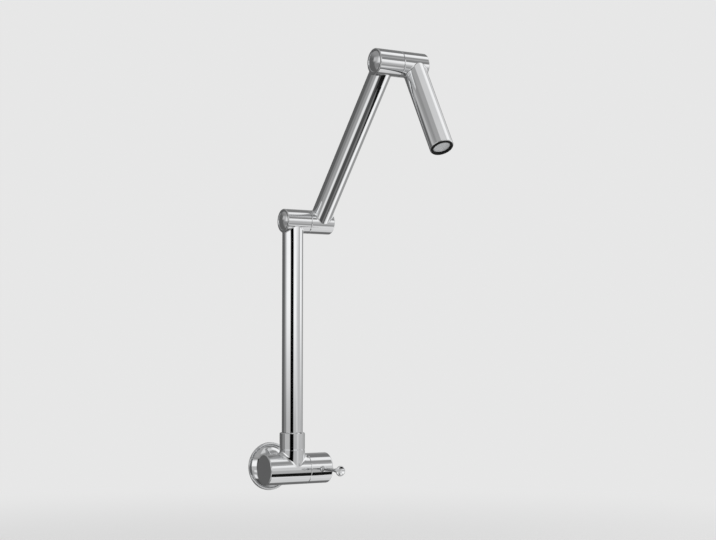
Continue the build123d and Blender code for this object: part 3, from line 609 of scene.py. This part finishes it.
# ---- Cartridge ------------------------------------------------------------------------------------------
# The quarter turn valve inside the barrel: a brass body with a brass spindle, two lapped ceramic discs with
# the ports, rubber rings, and a spring steel clip that keeps the spindle in.


def bare_steel(name):
    """Bare steel with fine rolling lines and a faint blue of its heat treatment."""
    finish, tree, shader, place = begun(name)
    lines = linked(tree, "TexWave", Vector=place, Scale=1500.0, Distortion=3.0, Detail=3.0).outputs["Fac"]
    cloud = linked(tree, "TexNoise", Vector=place, Scale=200.0, Detail=4.0).outputs["Fac"]
    blued = (0.38, 0.38, 0.41)
    plain = (0.62, 0.62, 0.62)
    colour = toned(tree, cloud, 0.0, blued, 1.0, plain)
    roughness = ranged(tree, cloud, 0.3, 0.7, new_low=0.24, new_high=0.38)
    coated(tree, shader, colour, roughness, lines, strength=0.2, depth=0.02 * mm)
    return finish


finished(turned_brass("turned_brass_barrel", "X"), "cartridge_body", "cartridge_spindle")
finished(rubber, "cartridge_o_ring", "cartridge_seat_seal", "spindle_seals")
lapped_ceramic = moulded(
    "lapped_ceramic", (0.86, 0.85, 0.81), roughness=0.16, grain=1600.0, depth=0.004 * mm
)
finished(lapped_ceramic, "fixed_disc", "moving_disc")
steel = bare_steel("bare_steel")
finished(steel, "spindle_clip")

# ---- Handle ---------------------------------------------------------------------------------------------
# A plated brass hub turns at the barrel's right end, clamped on the spindle by a grub screw underneath. The
# slender lever is a rod screwed into its front, with a small round ferrule at its root and a flared tip.
finished(plating, "handle_hub", "lever_ferrule", "lever_rod", "lever_tip")
finished(steel, "hub_grub_screw")

# ---- Swivel under the riser -----------------------------------------------------------------------------
# A plated collar screws down on the branch and keeps the flange of the riser's brass stem between a nylon
# washer and a split nylon ring, so that the riser turns but can't lift. Two rubber rings seal the stem, and
# its neck is plated where it comes out of the collar.
finished(plating, "swivel_nut")
white_nylon = moulded("white_nylon", (0.80, 0.80, 0.76), roughness=0.45, grain=1200.0, depth=0.03 * mm)
finished(white_nylon, "swivel_washer", "swivel_split_ring")
neck_low = 33 * mm
neck_blend = 0.2 * mm
neck_colour = (0.78, 0.79, 0.80, 1)
stem_metal = turned_brass("turned_brass_riser", "Z")
tree = stem_metal.node_tree
stem_shader = tree.nodes["Principled BSDF"]
bare_colour = stem_shader.inputs["Base Color"].links[0].from_socket
stem_place = linked(tree, "SeparateXYZ", Vector=tree.nodes.new("ShaderNodeTexCoord").outputs["Object"])
plated_neck = ranged(tree, stem_place.outputs["Z"], neck_low, neck_low + neck_blend)
stem_colour = linked(tree, "MixRGB", Fac=plated_neck, Color1=bare_colour, Color2=neck_colour)
tree.links.new(stem_colour.outputs[0], stem_shader.inputs["Base Color"])
finished(stem_metal, "swivel_stem")
finished(rubber, "stem_seals")

# ---- Riser and lower elbow ------------------------------------------------------------------------------
# Drawn brass tube, plated and buffed to a mirror, brazed over a spigot of the elbow's fixed half. The two
# halves turn on a hollow brass bolt with black slip washers, and domed caps close their outer ends.
brass_across = turned_brass("turned_brass_elbows", "X")
slippery = moulded("black_acetal", (0.022, 0.022, 0.024), roughness=0.35, grain=1800.0, depth=0.02 * mm)


def elbow_finished(which):
    """Gives the pieces of one elbow their finishes."""
    finished(plating, which + "_fixed_housing", which + "_moving_housing")
    finished(plating, which + "_fixed_cap", which + "_moving_cap")
    finished(brass_across, which + "_pivot_bolt")
    finished(slippery, which + "_pivot_washers")
    finished(rubber, which + "_pivot_seals", which + "_fixed_cap_seal", which + "_moving_cap_seal")


finished(plating, "riser_tube")
elbow_finished("lower")

# ---- Arm and upper elbow --------------------------------------------------------------------------------
# The same tube and the same joint again: the upper elbow is a little larger than the lower one, because the
# spout is a wider tube.
finished(plating, "arm_tube")
elbow_finished("upper")

# ---- Spout and aerator ----------------------------------------------------------------------------------
# The spout is the widest of the three tubes. A black ring screws into its mouth and holds a pale honeycomb
# of moulded plastic, and a rubber washer seals them against the tube's ledge.
finished(plating, "spout_tube")
ring_black = moulded(
    "black_aerator_ring", (0.006, 0.006, 0.006), roughness=0.45, grain=1500.0, depth=0.03 * mm
)
ring_black.node_tree.nodes["Principled BSDF"].inputs["Specular IOR Level"].default_value = 0.2
finished(ring_black, "aerator_shell")
pale_honeycomb = moulded("pale_honeycomb", (0.55, 0.56, 0.57), roughness=0.4, grain=900.0, depth=0.02 * mm)
finished(pale_honeycomb, "aerator_insert")
finished(rubber, "aerator_washer")
